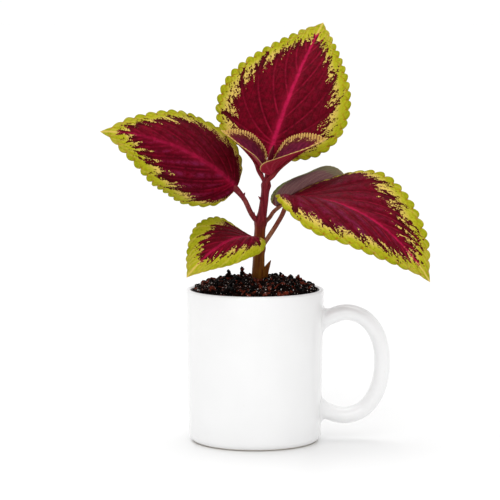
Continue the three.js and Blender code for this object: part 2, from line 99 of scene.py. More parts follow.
# the stem's centre line, bottom to top: x, y, z and the width across the flats
STEM = [
    (1.0, 0.6, 60, 5.6), (1.3, 0.3, 80, 7.2), (1.5, 0, 93, 7.1), (2.0, 0, 105, 6.7),
    (2.4, 0, 115, 6.2), (2.8, 0, 125, 6.1), (3.3, 0, 131, 6.2), (4.4, 0.1, 136.5, 5.0),
    (5.6, 0.3, 145, 4.6), (6.5, 0.5, 152.5, 4.5), (7.4, 0.2, 158, 2.9), (8.6, 0, 165, 2.4),
    (10, 0.4, 171, 2.3), (11.2, 1, 176.2, 0.6),
]
STEM_TURN = math.radians(22)
STEM_STEPS, STEM_SIDES = 260, 72
SQUARENESS, HOLLOW, ROUGHNESS = 4.4, 0.035, 0.05  # of the stem's section
JOINTS, JOINT_SWELLING, JOINT_REACH = (115, 130.5, 152.5), 0.55, 2.4  # where the leaves leave it
STEM_BUDS = [
    ((4.0, -0.4, 91), (6.1, -0.6, 101), (9.4, 0, 107.9), 2.2, 2.8),
    ((1.6, -1.6, 130.4), (0.2, -2.5, 132.6), (-0.6, -3, 137), 0.9),
    ((4.6, -0.4, 143.2), (2.9, -1, 144.9), (1.9, -1.4, 146), 0.9),
]


class Leaf:
    """One leaf. A pair is for its left and right half, seen from base to tip. Seven numbers
    run from base to tip at SHARES, and one number in their place holds all along.

    base, tip, sag, arch: the blade's ends, and how far its midrib rises towards its face
    azimuth, elevation, twist: the way its face looks, and how far that turns on the way
    width, taper, lobe, swell, heel: its outline
    fold, curl, wave: how its halves stand up at the midrib, bend and wave at the margin
    teeth, tooth, steps: how many teeth, how large, and the columns for each
    border, ragged: how wide the lime border is, and how far its flames run in
    painted_shade, painted_sheen, shine, pleat_shade: the painted shade on the crimson, its
    painted satin sheen, how far the veins stand out bright, and the painted shade in their pleats
    rib, stalk, flare, bump: half the stalk's width, its line, how far it widens at the
        blade's foot, and a bud on it
    seed: where its own pattern of puckers and flecks starts
    """

    heel, flare, steps, swell, bump = 0, 0, 13, (0, 0), None

    def __init__(self, **sizes):
        for name, size in sizes.items():
            setattr(self, name, size)


SHARES = (0, 0.1, 0.3, 0.5, 0.7, 0.85, 1)
LEAVES = {
    "leaf_left": Leaf(
        seed=15.3, base=(-10.5, -2, 151.7), tip=(-90, -24, 185.5), sag=0.57, arch=14,
        azimuth=-8, elevation=41, twist=14,
        width=(33.2, 33.2), taper=1.07, lobe=(3, 3), fold=(-26, 10), curl=(-74, -39), wave=0.9,
        teeth=(18, 17), tooth=(1, 1),
        border=((6.4, 7.4, 8.8, 8.8, 9.2, 9.6, 10.4), (8, 8, 7.8, 7.4, 7.4, 7, 8)),
        ragged=((2, 2.6, 3.2, 3.6, 3.5, 3, 2), (3.6, 3.6, 3.4, 3.2, 2.8, 2, 1.5)),
        painted_shade=((0.1, 0.1, 0.1, 0, 0, 0, 0), (0.9, 0.9, 0.7, 0.3, 0, 0, 0)),
        painted_sheen=(0.9, 0.35), shine=0.3, pleat_shade=(0.9, 0.6),
        rib=1.5, stalk=[(3.1, 0, 129.2), (-1.6, -1, 134.6), (-6.6, -2, 144.5)], flare=0.55,
        bump=((-7.4, -1.8, 145.9), (-6.6, -2, 147), (-5.9, -2.2, 148.4), 0.8)),
    "leaf_top": Leaf(
        seed=13.6, base=(9.7, 17, 172), tip=(42.1, 63, 248), sag=0.43, arch=6.3,
        azimuth=-12, elevation=33.4, twist=0,
        width=(41.1, 40.7), taper=1.17, lobe=(10, 10), fold=(6, 6), curl=(6, -4), wave=0.8,
        swell=((0, 0, 0, 0, 0, 1.6, 32), (0, 0, 0, 0, 0, 1.6, 22.4)), heel=4.5,
        teeth=(22, 21), tooth=(1.1, 1.1),
        border=((5.6, 6.2, 6.8, 7.2, 7.8, 9, 10.4), (8.6, 9, 8.8, 8.2, 7.8, 8.2, 9.6)),
        ragged=((4, 5, 5.2, 4.6, 3.6, 2.4, 1), (4, 4.2, 4, 3.6, 3, 2.2, 1)),
        painted_shade=(0, (0.2, 0.2, 0.2, 0.1, 0, 0, 0)), painted_sheen=(0.05, 0.1), shine=0.9, pleat_shade=(0.15, 0.15),
        rib=1.35, stalk=[(6.5, 0.5, 151), (7, 4.4, 156.5), (8, 10.8, 164.6)]),
    "leaf_right": Leaf(
        seed=17.0, base=(18.2, -8, 145.9), tip=(101.1, -36, 99), sag=0.48, arch=15.7,
        azimuth=16, elevation=75, twist=41,
        width=(42, 40.4), taper=1.07, lobe=(2, 2), fold=(8, 14.5), curl=(17, -51), wave=0.9,
        swell=((0, 0, 0, -0.96, -3.2, -2.56, 0), (0, 0.16, -0.16, -0.8, -1.12, -0.8, 0)),
        teeth=(22, 17), tooth=(1, 1.05),
        border=((1.9, 1.8, 1.9, 8.4, 10.6, 10, 10.8), (5.7, 5.5, 6.2, 7.2, 8, 8.8, 10.8)),
        ragged=((0.9, 0.9, 0.9, 6, 6, 4, 2.5), (1, 2.2, 3.2, 3.6, 3.4, 3, 2.5)),
        painted_shade=((0.4, 0.4, 0.2, 0, 0, 0, 0), 0), painted_sheen=(0.3, 0.9), shine=0.8, pleat_shade=(0.3, 0.35),
        rib=1.4,
        stalk=[(2.4, -0.2, 113.6), (10.1, -3.5, 125.2), (15.9, -6.5, 135.4), (18.2, -8.2, 141)]),
    "leaf_back_right": Leaf(
        seed=15.3, base=(12.4, 5, 139.5), tip=(56.3, 44, 153.8), sag=0.62, arch=4.5,
        azimuth=180, elevation=55, twist=22,
        width=(15, 20.5), taper=1.0, lobe=(-5, 5.5), fold=(42, 40), curl=(0, -60), wave=0.5,
        teeth=(15, 15), tooth=(0.12, 0.12), border=[(3, 4, 6, 7, 7, 7, 7)] * 2, ragged=(2, 2),
        painted_shade=(0, 0), painted_sheen=(0.5, 0.5), shine=0.4, pleat_shade=(0.2, 0.2),
        rib=1.2, stalk=[(3.1, 0.2, 128.4), (8.4, 2.6, 132.8), (11, 4.2, 136.4)]),
    "leaf_low_left": Leaf(
        seed=13.6, base=(-1.1, -13, 123.2), tip=(-39.6, -40, 102.2), sag=0.42, arch=7.6,
        azimuth=-18, elevation=54, twist=-23,
        width=(21, 22.5), taper=1.06, lobe=(1, 1), fold=(13, 3), curl=(-41, 25), wave=0.6,
        teeth=(15, 16), tooth=(0.25, 0.5),
        border=((4.7, 5.1, 7.3, 8.7, 9.3, 9.7, 10), (4.3, 4.7, 7.3, 8.9, 9.4, 10, 10)),
        ragged=((1, 1.5, 2.4, 2.6, 2.6, 2, 1.5), (1, 2, 2.4, 2.4, 2.4, 2, 1.5)),
        painted_shade=((0.25, 0.15, 0.12, 0.12, 0.12, 0.1, 0), (0.7, 0.8, 0.8, 0.7, 0.4, 0.2, 0)),
        painted_sheen=(0.8, 0.5), shine=0.5, pleat_shade=(0.5, 0.5),
        rib=1.2, stalk=[(2.3, -0.2, 113.2), (1.2, -5, 114.6), (-0.2, -9.8, 117.6)]),
    "leaf_young_left": Leaf(
        seed=25.5, base=(4.3, 3, 161.4), tip=(-20.4, -5, 185.4), sag=0.48, arch=2.4,
        azimuth=34, elevation=57, twist=-21,
        width=(12.1, 11.7), taper=1.05, lobe=(1, 1), fold=(29, 36), curl=(0, -12), wave=0.3,
        teeth=(18, 28), tooth=(0.3, 0.95), steps=9,
        border=((0.8, 0.8, 1, 1.3, 2, 3.6, 6), (2.5, 2.8, 3.1, 3.3, 3.6, 4.4, 6.4)),
        ragged=(0.3, 1.3), painted_shade=(0, (0.4, 0.3, 0, 0, 0, 0, 0)),
        painted_sheen=(0.4, 0.8), shine=0.4, pleat_shade=(0.4, 0.4),
        rib=0.9, stalk=[(6.3, 0.5, 150.4), (4.9, 1.4, 155.4)], flare=0.75),
    "leaf_young_right": Leaf(
        seed=27.2, base=(8.7, -4.6, 158.8), tip=(42.8, -16, 181.3), sag=0.5, arch=2.2,
        azimuth=-31, elevation=71.5, twist=47,
        width=(14.9, 17), taper=1.08, lobe=(-1.6, 3.2), fold=(36, 31), curl=(-13, -9), wave=0.3,
        teeth=(30, 18), tooth=(0.95, 0.3), steps=9,
        border=((2.7, 3, 3.3, 3.5, 4, 5.4, 8), (0.8, 0.8, 1, 1.4, 2.2, 4.5, 8)),
        ragged=(1.4, 0.3), painted_shade=((0.4, 0.3, 0, 0, 0, 0, 0), 0),
        painted_sheen=(0.8, 0.4), shine=0.4, pleat_shade=(0.4, 0.4),
        rib=0.9, stalk=[(6.4, 0.2, 150), (7.5, -2.6, 154.9)], flare=0.45),
}


class Blade:
    """What all the blades share. The forms of the face are for a leaf 40 mm to a side."""
    thickness, edge, rows = 0.5, 0.2, 42
    tooth_depth, tooth_setback = 1.75, 1.15
    pillow, groove, crease, net, scallop, swell = 0.62, 0.2, 0.42, 0.16, 0.8, 0.55
    ridge = 0.22  # how far a side vein stands out beneath


# The side veins leave the midrib at one share of the outline and reach the margin at
# another, by a bent line: (share at the midrib, share at the margin, bend).
VEINS = [
    (0.0, 0.03, 1.0), (0.09, 0.23, 1.1), (0.12, 0.55, 1.5), (0.16, 0.73, 1.1),
    (0.30, 0.90, 1.0), (0.47, 0.95, 0.95), (0.63, 0.968, 0.95), (0.77, 0.98, 1.0),
    (0.89, 0.992, 1.0), (1.0, 1.0, 1.0),
]

# what each point of a blade carries for its finish, three numbers to a layer
LAYERS = (
    "rim",  # millimetres along the margin and in from it, and 1 on the upper face
    "vein",  # number of the side vein, millimetres from one to the next, share outwards
    "flat",  # place on the flat blade along and across it, share along
    "zone",  # width and raggedness of the border, number of the tooth
    "cast",  # painted shade, painted satin sheen, shine of the veins
    "form",  # size of the teeth, how dark the painted shade in the pleats is, where the leaf's own pattern starts
)

# ---- making shapes


def bell(distance, width):
    """1 at no distance, and next to nothing from about twice the width on."""
    return np.exp(-((distance / width) ** 2))


def distances(points):
    """How far along a line of points each of them lies."""
    return np.r_[0, np.cumsum(np.linalg.norm(np.diff(points, axis=0), axis=1))]


def shaped_grid(bm, columns, rows, place):
    """A flat grid whose points move to place(column, row)."""
    made = bmesh.ops.create_grid(bm, x_segments=columns, y_segments=rows, size=1)
    for vert in made["verts"]:
        column = round((vert.co.x + 1) / 2 * columns)
        row = round((vert.co.y + 1) / 2 * rows)
        vert.co = place(column, row)
    return made["verts"]


def smooth_line(points, steps):
    """Evenly spaced places along the smooth line through points, and the way it runs there."""
    knots = [Vector(point) for point in points]
    knots = [2 * knots[0] - knots[1], *knots, 2 * knots[-1] - knots[-2]]
    dense = []
    for before, start, end, after in zip(knots, knots[1:], knots[2:], knots[3:]):
        first, middle, last = (max((b - a).length ** 0.5, 1e-4)
                               for a, b in ((before, start), (start, end), (end, after)))
        leave = ((start - before) / first - (end - before) / (first + middle)
                 + (end - start) / middle) * middle
        reach = ((end - start) / middle - (after - start) / (middle + last)
                 + (after - end) / last) * middle
        for k in range(24):
            s = k / 24
            dense.append(start * (2 * s**3 - 3 * s**2 + 1) + leave * (s**3 - 2 * s**2 + s)
                         + end * (3 * s**2 - 2 * s**3) + reach * (s**3 - s**2))
    dense = np.array([*dense, knots[-2]])
    travelled = distances(dense)
    wanted = np.linspace(0, travelled[-1], steps + 1)
    places = np.stack([np.interp(wanted, travelled, dense[:, k]) for k in range(3)], axis=1)
    ways = np.gradient(places, axis=0)
    ways /= np.linalg.norm(ways, axis=1, keepdims=True)
    return [Vector(p) for p in places], [Vector(w) for w in ways], travelled[-1]


def grow_tube(bm, places, ways, half_width, sides, section=None, side=None):
    """A closed tube along places. half_width(i) is its half width at place i, and
    section(turn, i) changes that round the tube."""
    side = side or ways[0].orthogonal()
    frames = []
    for way in ways:
        side = (side - way * side.dot(way)).normalized()
        frames.append((side, way.cross(side)))
    last = len(places) - 1

    def place(column, row):
        i = column - 1
        if i < 0 or i > last:
            return places[min(max(i, 0), last)]
        turn = TURN * row / sides
        reach = half_width(i) * (section(turn, i) if section else 1)
        across, front = frames[i]
        return places[i] + across * (reach * math.cos(turn)) + front * (reach * math.sin(turn))

    return shaped_grid(bm, last + 2, sides, place)


def pointed_bud(bm, foot, bulge, tip, radius, blunt=1.7, sides=20, steps=22):
    places, ways, _ = smooth_line([foot, bulge, tip], steps)
    grow_tube(bm, places, ways, lambda i: radius * (1 - (i / steps) ** blunt) + 0.12, sides,
              lambda turn, i: 1 + 0.1 * math.cos(2 * turn + 0.1 * i))


def put_in_scene(name, data):
    thing = bpy.data.objects.new(name, data)
    bpy.context.collection.objects.link(thing)
    return thing


def mesh_of(bm, name, finishes):
    mesh = bpy.data.meshes.new(name)
    bm.to_mesh(mesh)
    bm.free()
    for finish in finishes:
        mesh.materials.append(finish)
    return mesh


def finish_piece(bm, name, finishes, slot, *nodes):
    """The shape becomes a closed piece in metres, which stands for the given solids."""
    bmesh.ops.remove_doubles(bm, verts=bm.verts, dist=1e-4)
    bmesh.ops.recalc_face_normals(bm, faces=bm.faces)
    bmesh.ops.scale(bm, vec=(MM, MM, MM), verts=bm.verts)
    mesh = mesh_of(bm, name, finishes)
    mesh.polygons.foreach_set("use_smooth", [True] * len(mesh.polygons))
    piece = put_in_scene(name, mesh)
    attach(piece, "root")
    if nodes:
        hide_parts(*nodes)


# ---- making finishes


def paint(red, green, blue):
    """A colour as it looks on a screen, 0 to 255, as the light that it reflects."""
    linear = [c / 12.92 if c <= 0.04045 else ((c + 0.055) / 1.055) ** 2.4
              for c in (red / 255, green / 255, blue / 255)]
    return (*linear, 1.0)


class Value:
    """What a node of a finish gives, so that sums with it are written as sums."""

    def __init__(self, finish, socket):
        self.finish, self.socket = finish, socket

    def __add__(self, other):
        return self.finish.maths("ADD", self, other)

    def __sub__(self, other):
        return self.finish.maths("SUBTRACT", self, other)

    def __mul__(self, other):
        return self.finish.maths("MULTIPLY", self, other)

    def __truediv__(self, other):
        return self.finish.maths("DIVIDE", self, other)

    def __abs__(self):
        return self.finish.maths("ABSOLUTE", self)

    def __round__(self):
        return self.finish.maths("ROUND", self)


class Finish:
    """One finish, built up node by node round a Principled shader. Patterns are scaled to
    metres on an object's coordinates and to millimetres on what a leaf's points carry."""

    def __init__(self, name, tones=(), **values):
        self.tones = dict(tones)
        self.material = bpy.data.materials.new(name)
        self.material.use_nodes = True
        self.tree = self.material.node_tree
        self.tree.nodes.clear()
        self.shader = self.tree.nodes.new("ShaderNodeBsdfPrincipled")
        output = self.tree.nodes.new("ShaderNodeOutputMaterial")
        self.tree.links.new(self.shader.outputs[0], output.inputs[0])
        for key, value in values.items():
            self.feed(self.shader, key.replace("_", " "), value)

    def feed(self, node, key, value):
        if isinstance(value, Value):
            self.tree.links.new(value.socket, node.inputs[key])
        else:
            node.inputs[key].default_value = value

    def add(self, kind, inputs, output=0, **settings):
        """A new node with its inputs and settings, and the value of one of its outputs."""
        node = self.tree.nodes.new("ShaderNode" + kind)
        for key, value in settings.items():
            setattr(node, key, value)
        for key, value in inputs.items():
            self.feed(node, key, value)
        return Value(self, node.outputs[output])

    def maths(self, operation, *values):
        return self.add("Math", dict(enumerate(values)), operation=operation)

    def least(self, a, b):
        return self.maths("MINIMUM", a, b)

    def most(self, a, b):
        return self.maths("MAXIMUM", a, b)

    def step(self, value, low, high):
        """0 below low and 1 above high, or the other way round where low is the larger."""
        ends = {"Value": value, "From Min": low, "From Max": high}
        return self.add("MapRange", ends, interpolation_type="SMOOTHSTEP")

    def mix(self, share, *colours):
        """From one colour to another: values, names of tones, or red, green and blue."""
        a, b = (c if isinstance(c, Value) else paint(*self.tones.get(c, c)) for c in colours)
        return self.add("Mix", {0: share, 6: a, 7: b}, 2, data_type="RGBA")

    def washes(self, colour, *layers):
        """Colours laid over the first one after another, each with its share."""
        for share, wash in layers:
            colour = self.mix(share, colour, wash)
        return colour

    def place(self):
        return self.add("TexCoord", {}, "Object")

    def attribute(self, name, output="Vector"):
        return self.add("Attribute", {}, output, attribute_name=name)

    def parts(self, vector):
        node = self.add("SeparateXYZ", {0: vector}).socket.node
        return [Value(self, output) for output in node.outputs]

    def join(self, x, y, z=0.0):
        return self.add("CombineXYZ", {0: x, 1: y, 2: z})

    def stretch(self, vector, x, y, z):
        return self.add("Mapping", {"Vector": vector, "Scale": (x, y, z)})

    def grain(self, vector, scale, detail=2.0, roughness=0.5, distortion=0.0):
        """Noise round zero, about -0.5 to 0.5."""
        inputs = {"Vector": vector, "Scale": scale, "Detail": detail, "Roughness": roughness,
                  "Distortion": distortion}
        return self.add("TexNoise", inputs) - 0.5

    def done(self, colour, roughness, relief=None, depth=0.0, strength=1.0):
        """The material, with a relief up to depth metres deep."""
        self.feed(self.shader, "Base Color", colour)
        self.feed(self.shader, "Roughness", roughness)
        if relief:
            inputs = {"Height": relief, "Distance": depth, "Strength": strength}
            self.feed(self.shader, "Normal", self.add("Bump", inputs))
        return self.material


def glaze_finish():
    """White gloss glaze, bare and rougher on the ring that the mug stands on."""
    f = Finish("white_glaze", Specular_IOR_Level=0.5, Coat_Weight=0.3, Coat_Roughness=0.06)
    place = f.place()
    bare = f.step(f.parts(place)[2], 0.0012, 0.0004)
    cloud = f.grain(place, 38, 3)
    speck = f.grain(place, 900, 1)
    white = f.mix(f.step(cloud, -0.3, 0.3), (240, 240, 240), (243, 243, 243))
    white = f.mix(f.step(speck, 0.26, 0.3), white, (236, 235, 232))
    biscuit = f.mix(f.step(speck, -0.2, 0.25), (222, 214, 200), (238, 232, 222))
    return f.done(f.mix(bare, white, biscuit), bare * 0.55 + cloud * 0.06 + 0.16,
                  speck * bare + cloud, 0.0004, 0.25)


def compost_finish(name, damp):
    """Dark damp compost: near black, with painted shade in the hollows of its relief, red-brown
    crumbs and painted white glints for wet highlights.
    """
    f = Finish(name, Specular_IOR_Level=0.04)
    place = f.place()
    fine = f.grain(place, 900, 4, 0.65)
    coarse = f.grain(place, 260, 3, 0.6)
    # the tone follows the same noise as the relief, so its hollows also carry painted shade
    shade = fine * 0.5 + coarse * 0.6 + f.attribute("tone", "Fac")
    # painted glints: white specks of wet highlight laid into the colour
    painted_glint = f.step(f.grain(place, 1100, 0), 0.25, 0.29)
    earth = f.washes(
        (6, 3, 2), (f.step(shade, 0.05, 0.5), (34, 14, 8)),
        (f.step(shade, 0.42, 0.8), (112, 44, 28)), (f.step(shade, 0.95, 1.3), (140, 84, 60)),
        (painted_glint * 0.9, (226, 212, 204)))
    return f.done(earth, fine * 0.9 + damp, coarse * 2 + fine, 0.0012, 0.9)


def perlite_finish():
    f = Finish("white_perlite", Specular_IOR_Level=0.5)
    pore = f.grain(f.place(), 1500, 3, 0.7)
    white = f.mix(f.step(pore, -0.25, 0.1), (196, 186, 176), (246, 242, 238))
    return f.done(white, pore * 0.4 + 0.55, pore, 0.0006, 0.8)


def stem_finish():
    """Crimson above, red-brown below, with green-brown streaks towards the foot."""
    f = Finish("stem_skin", Specular_IOR_Level=0.07)
    place = f.place()
    height = f.parts(place)[2]
    streak = f.grain(f.stretch(place, 1, 1, 0.1), 800, 3, 0.6)
    fleck = f.grain(f.stretch(place, 1, 1, 0.35), 1400, 2, 0.6)
    wander = f.grain(place, 120, 2) * 0.02 + height
    striped = f.step(streak, -0.2, 0.2)
    low = f.mix(striped, (92, 42, 2), (126, 80, 14))
    middle = f.mix(striped, (92, 34, 6), (130, 66, 24))
    high = f.mix(striped, (94, 12, 26), (128, 38, 46))
    skin = f.washes(
        low, (f.step(wander, 0.1, 0.116), middle), (f.step(wander, 0.119, 0.136), high),
        (f.step(height, 0.1, 0.092), (74, 34, 2)), (f.step(height, 0.162, 0.17), (84, 8, 26)),
        (f.step(fleck, 0.16, 0.3) * 0.7, (158, 118, 78)))
    return f.done(skin, fleck * 0.3 + 0.42, streak * 1.5 + fleck, 0.0004, 0.35)


def stalk_finish(name, red, green_brown):
    """Leaf stalk and the raised midrib beneath the blade."""
    f = Finish(name, Specular_IOR_Level=0.08)
    place = f.place()
    fleck = f.grain(place, 700, 3, 0.6)
    share = f.step(f.grain(place, 150, 2) * 0.9 + fleck, -0.25, 0.45)
    return f.done(f.mix(share, red, green_brown), fleck * 0.3 + 0.42, fleck, 0.0004, 0.4)


# The colours of a grown coleus leaf, and how those of the leaf at the back and of a young leaf
# differ.
# The leaf at the back is a shaded copy: its duller lime, olive and cream are painted shade,
# and its paler underside is painted light.
GROWN = {
    "crimson": (119, 1, 28), "wine": (84, 1, 16), "edge_wine": (60, 5, 8), "deep": (66, 2, 16),
    "sheen_mauve": (116, 28, 66), "midrib": (196, 26, 78), "vein": (156, 18, 52),
    "lime": (172, 168, 30), "olive": (136, 142, 8), "cream": (226, 190, 102),
    "rim": (172, 142, 46), "seam": (160, 98, 26), "shade": (96, 96, 14),
    "tip_rib": (216, 186, 92),
    "under": (98, 56, 62), "under_edge": (96, 97, 56), "under_vein": (132, 96, 92),
}
BACK = {
    **GROWN, "lime": (112, 120, 60), "olive": (92, 102, 48), "cream": (164, 150, 88),
    "rim": (138, 132, 92),
    "under": (116, 78, 80), "under_edge": (112, 108, 76), "under_vein": (142, 108, 98),
}
YOUNG = {
    **GROWN, "crimson": (112, 30, 54), "wine": (82, 18, 40), "edge_wine": (94, 36, 28),
    "deep": (62, 8, 34), "sheen_mauve": (132, 56, 94), "midrib": (150, 36, 60), "vein": (132, 36, 68),
    "lime": (228, 188, 108), "olive": (190, 148, 68), "cream": (232, 178, 110),
    "rim": (222, 188, 116), "seam": (104, 46, 30),
    "under": (158, 32, 54), "under_edge": (182, 92, 66), "under_vein": (182, 68, 84),
}


def leaf_finish(name, tones, fringe=0.0):
    """The variegated blade: a crimson middle with pink veins that breaks up, in flames
    and specks, into a lime border with rounded teeth. The fringe is how far a brown line
    parts its teeth."""
    f = Finish(name, tones, Specular_IOR_Level=0.03)
    rim, vein, flat, zone, cast, form = (f.attribute(layer) for layer in LAYERS)
    edge, inward, upper = f.parts(rim)
    number, spacing, out = f.parts(vein)
    _, across, share = f.parts(flat)
    border, ragged, tooth = f.parts(zone)
    painted_shade, painted_sheen, shine = f.parts(cast)
    size, pleat_shade, start = f.parts(form)

    # how near a point is to a side vein, to the midrib and to the fine net between them
    to_vein = abs(number - round(number)) * spacing
    aside = abs(across)
    patch = f.grain(flat, 0.36, 3, 0.6, 0.4)
    midrib = f.step(aside / (patch * 1.6 + share * -1.2 + 2.2), 1.0, 0.2)
    side_vein = f.step(patch * 0.5 + to_vein, 0.85, 0.1)
    cells = f.add("TexVoronoi", {"Vector": flat, "Scale": 0.6}, feature="DISTANCE_TO_EDGE")
    net = f.step(cells, 0.1, 0.0)
    rungs = f.grain(f.join(number * 0.8, aside * 1.1), 1.0, 2)

    # each tooth is a rounded lime pillow; further in, cream flames and specks lie among
    # the dark crimson and lean along the side veins
    bow = f.maths("COSINE", tooth * TURN) * -0.5 + 0.5
    swing = size * 0.6
    beyond = inward - f.least(border * 0.6, 4.3) * (bow * swing - swing + 1)
    cell = f.join(inward + edge, inward)
    sway = f.grain(f.stretch(cell, 0.07, 0.05, 1), 1.0, 1)
    flame = f.step(f.grain(f.stretch(cell, 0.4, 0.22, 1), 1.0, 2, 0.6, 0.6), -0.06, 0.06)
    speck = f.step(f.grain(flat, 0.85, 2, 0.65, 0.6), -0.07, 0.07)
    run = f.join(number * 3.2, inward * 0.14, start)
    tongue = f.step(f.grain(run, 1.0, 2, 0.5, 0.3), -0.12, 0.12)
    finger = f.step(to_vein, 2.6, 0.1)
    loose = flame + sway + speck * 1.2 + tongue * 0.7 + finger * 1.5 - 1.85
    past = inward - border
    reached = past / ragged
    raw = loose * ragged + past
    crimson_share = f.step(f.least(raw, beyond), -0.15, 0.15)

    # crimson middle, puckered between the veins, with painted satin sheen on the puckers and
    # painted shade in the grooves beside the veins
    cloud = f.grain(flat, 0.1, 2)
    mixed = rungs * 0.6 + patch
    # painted sheen: mauve on the puckers between the veins, as strong on each half as its painted
    # sheen
    painted_satin = f.step(to_vein, 1.0, 3.6) * f.step(cloud + mixed, -0.25, 0.3)
    # painted shade: darker in the grooves beside the side veins
    groove_shade = f.step(to_vein, 2.8, 0.6) * f.step(spacing, 3.0, 7.0)
    glow = f.step(aside, 5.0, 0.5) * f.step(share, 1.05, 0.3)
    # dark: the crimson's own darker band by the lime, and painted shade where a half lies in
    # shadow
    dark = f.most(f.most(f.step(raw, 3.2, 0.1), f.step(reached, 1.3, 0.4)), painted_shade)
    lit = f.step(patch + cloud, -0.35, 0.25)
    faint = side_vein * f.step(out, 1.1, 0.1) * lit
    middle = f.washes(
        "wine",
        (f.step(mixed, -0.2, 0.22), "crimson"),
        (painted_satin * painted_sheen, "sheen_mauve"),
        (groove_shade * (pleat_shade * 0.6 + 0.25), "deep"),
        (net * 0.2, "wine"),
        (glow * (shine * 0.3 + 0.25), "vein"),
        (dark * 0.8, "edge_wine"),
        (faint * (shine * 0.5 + 0.35), "vein"),
        (midrib * shine * (lit * 0.6 + 0.4), "midrib"),
    )

    # lime border
    mottle = f.grain(cell, 0.6, 3, 0.6)
    creamy = f.step(beyond, -0.5, 0.6) * f.step(mottle * 1.5 + reached, -1.0, 0.4)
    # the brown seam round each tooth and the line in its notches: partly the leaf's own colour,
    # partly painted shade where the teeth meet
    seam = f.step(abs(beyond + 0.3), 0.6, 0.1) * f.step(mottle, -0.12, 0.12)
    notch = f.step(bow, 0.12, 0.0) * f.step(inward, 0.3, 0.9) * f.step(beyond, 1.0, 0.2)
    crease = f.most(f.most(seam, notch) * (size * size), f.step(bow, 0.75, 0.15) * fringe)
    lime = f.washes(
        "olive",
        (f.step(inward / border * 0.45 + mottle, -0.1, 0.3), "lime"),
        (creamy * 0.8, "cream"),
        (crease * 0.65, "seam"),
        (f.step(inward, 0.6, 0.15) * 0.5, "rim"),
        (painted_shade * 0.45, "shade"),
        (side_vein * 0.2, "cream"),
        (midrib * 0.8, "tip_rib"),
    )

    # duller underneath, where the veins stand up pale
    wide = flame * 1.6 + border * -0.75 + inward
    beneath = f.washes(
        "under_edge",
        (f.step(wide, -1.2, 2.4), "under"),
        (f.most(side_vein, net * 0.4) * 0.4, "under_vein"),
        (f.step(inward, 0.7, 0.3) * f.step(share, -0.01, 0.06), "rim"),
    )
    fine = f.grain(flat, 2.6, 3, 0.6)
    pillow = f.step(beyond, 0.3, -1.0) * f.step(notch, 1.0, 0.0) * size
    return f.done(f.mix(upper, beneath, f.mix(crimson_share, lime, middle)), fine * 0.25 + 0.5,
                  pillow * 1.3 + net * -0.45 + fine, 0.0004, 0.5)


def table_finish():
    f = Finish("pale_table", Specular_IOR_Level=0.3)
    cloud = f.grain(f.place(), 6, 3)
    white = f.mix(f.step(cloud, -0.3, 0.3), (242, 242, 242), (243, 243, 243))
    return f.done(white, cloud * 0.02 + 0.24)


# ---- the mug


def wall_radius(height):
    """The mug's outer radius at a height."""
    share = (height - Mug.bottom_rounding) / (Mug.height - Mug.bottom_rounding)
    return Mug.body + (Mug.rim - Mug.body) * share


def arc(x, z, radius, start, end, steps):
    turns = [math.radians(start + (end - start) * k / steps) for k in range(steps + 1)]
    return [(x + radius * math.cos(t), z + radius * math.sin(t)) for t in turns]


def mug_profile():
    """The mug's section, from the middle of its foot round the wall to the middle inside."""
    m = Mug
    ring, inside = m.recess_radius - 1, m.floor + m.floor_rounding
    inner, top = wall_radius(inside) - m.wall, m.height - m.lip
    foot = [(0, m.recess), (ring - 11, m.recess), (ring, m.recess)]
    foot += arc(ring, m.recess / 2, m.recess / 2, 90, 0, 4)[1:]
    foot += [(m.recess_radius + 1.2, 0), (m.foot - 1.5, 0), (m.foot, 0)]
    outside = arc(m.body - m.bottom_rounding, m.bottom_rounding, m.bottom_rounding, -70, 0, 12)
    outside += [(wall_radius(z), z) for z in range(12, int(m.height) - 3, 6)]
    lip = arc(m.rim - m.lip, top, m.lip, 0, 90, 9)
    lip += arc(m.rim - m.wall + m.lip, top, m.lip, 90, 180, 9)
    bowl = [(wall_radius(z) - m.wall, z) for z in range(80, 18, -8)] + [(inner, inside)]
    bowl += arc(inner - m.floor_rounding, inside, m.floor_rounding, -8, -90, 9)
    return foot + outside + lip + bowl + [(12, m.floor), (0, m.floor)]


def to_wall(point, way):
    """Where a line from point along way meets the mug's outer wall."""
    low, high = 0.0, 20.0
    for _ in range(40):
        middle = (low + high) / 2
        spot = point + way * middle
        if math.hypot(spot.x, spot.y) > wall_radius(spot.z):
            low = middle
        else:
            high = middle
    return point + way * high


def make_handle(bm):
    """The handle runs into the wall at each end in a hollow curve all round it."""
    places, ways, _ = smooth_line([(x, 0, z) for x, z in Handle.line], Handle.steps)
    free = [i for i, p in enumerate(places) if p.x > wall_radius(p.z) + Handle.free_from_wall]
    first, last = free[0], free[-1]
    bends = Handle.fillet_steps

    def ring_point(i, turn, swell=0.0):
        outward = Vector((-ways[i].z, 0, ways[i].x))
        return (places[i] + outward * ((Handle.thickness / 2 + swell) * math.cos(turn))
                - Vector((0, 1, 0)) * ((Handle.breadth / 2 + swell) * math.sin(turn)))

    def root_point(i, end, turn, k):
        towards = (places[end] - places[i]).normalized()
        start = ring_point(i, turn)
        corner = to_wall(start, towards)
        reached = to_wall(ring_point(i, turn, Handle.fillet), towards)
        s = k / bends
        return start * (1 - s) ** 2 + corner * (2 * s * (1 - s)) + reached * s**2

    count = last - first
    columns = count + 2 * bends + 2

    def place(column, row):
        turn = TURN * row / Handle.sides
        k = column - 1 - bends
        if column in (0, columns):
            return Handle.end if column else Handle.start
        if k < 0:
            return root_point(first, 0, turn, -k)
        if k > count:
            return root_point(last, -1, turn, k - count)
        return ring_point(first + k, turn)

    shaped_grid(bm, columns, Handle.sides, place)


